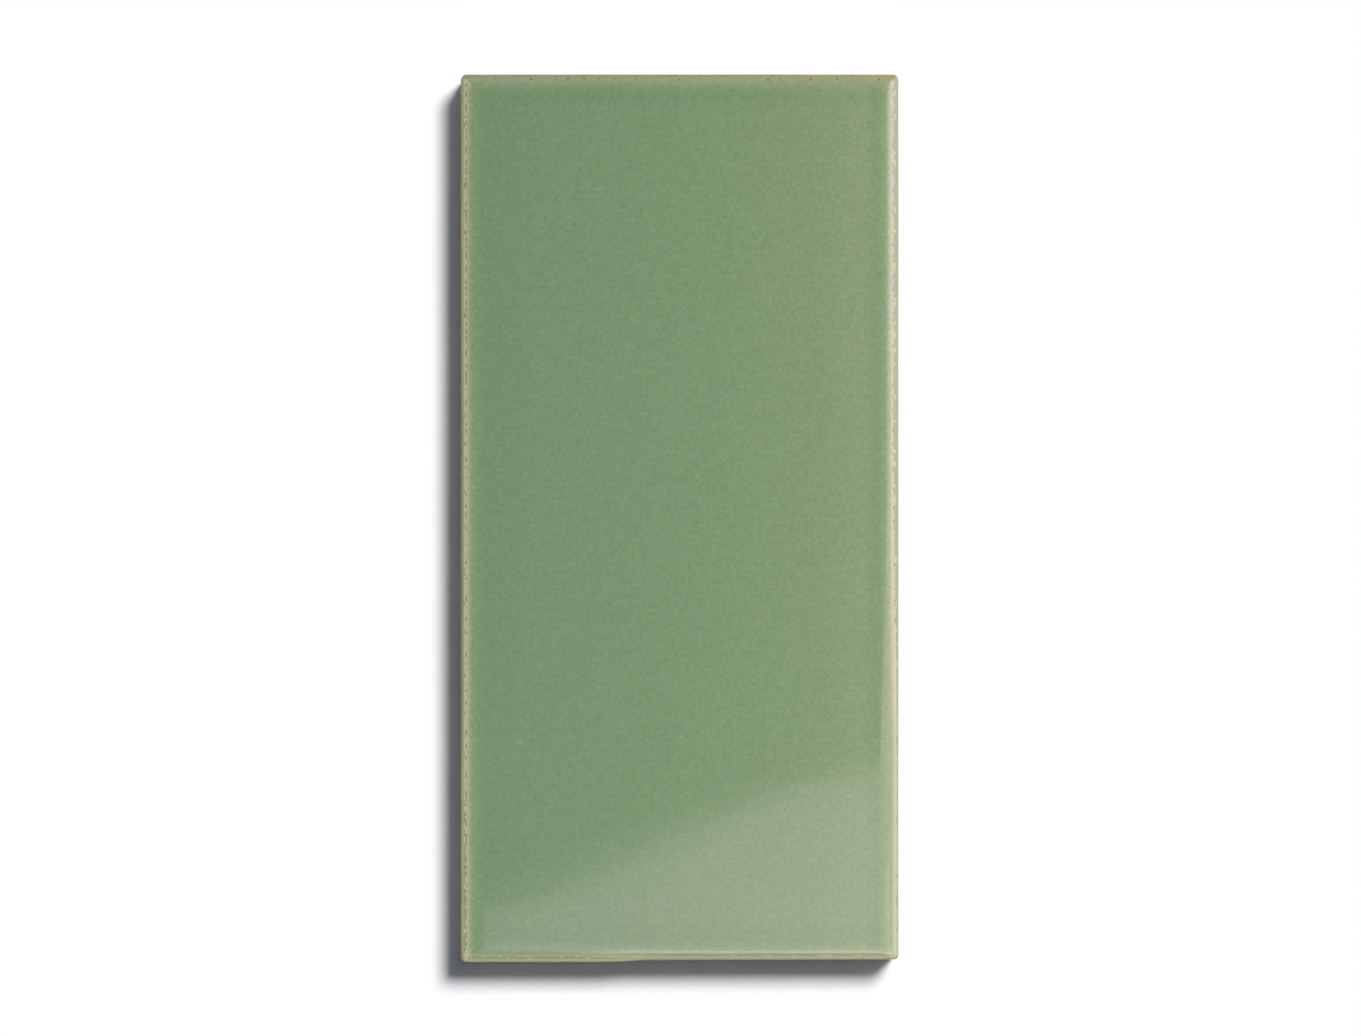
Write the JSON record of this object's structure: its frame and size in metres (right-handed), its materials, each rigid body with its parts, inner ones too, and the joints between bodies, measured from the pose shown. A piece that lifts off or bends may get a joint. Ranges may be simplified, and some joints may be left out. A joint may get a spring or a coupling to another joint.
{
  "type": "wall tile",
  "caption": "Flat rectangular wall tile of half-tile format with a glossy green glaze that rolls over low soft shoulders, and a keyed bare back for adhesive.",
  "frame": {"origin": "middle of the back, on the plane that the tile is bedded on", "axes": "+Z points out of the glazed face, the length runs along Y and the width along X"},
  "size_m": [0.075, 0.152, 0.008],
  "materials": {
    "glaze": "gloss"
  },
  "bodies": {
    "root": {"wall_tile": "glaze"}
  },
  "joints": []
}
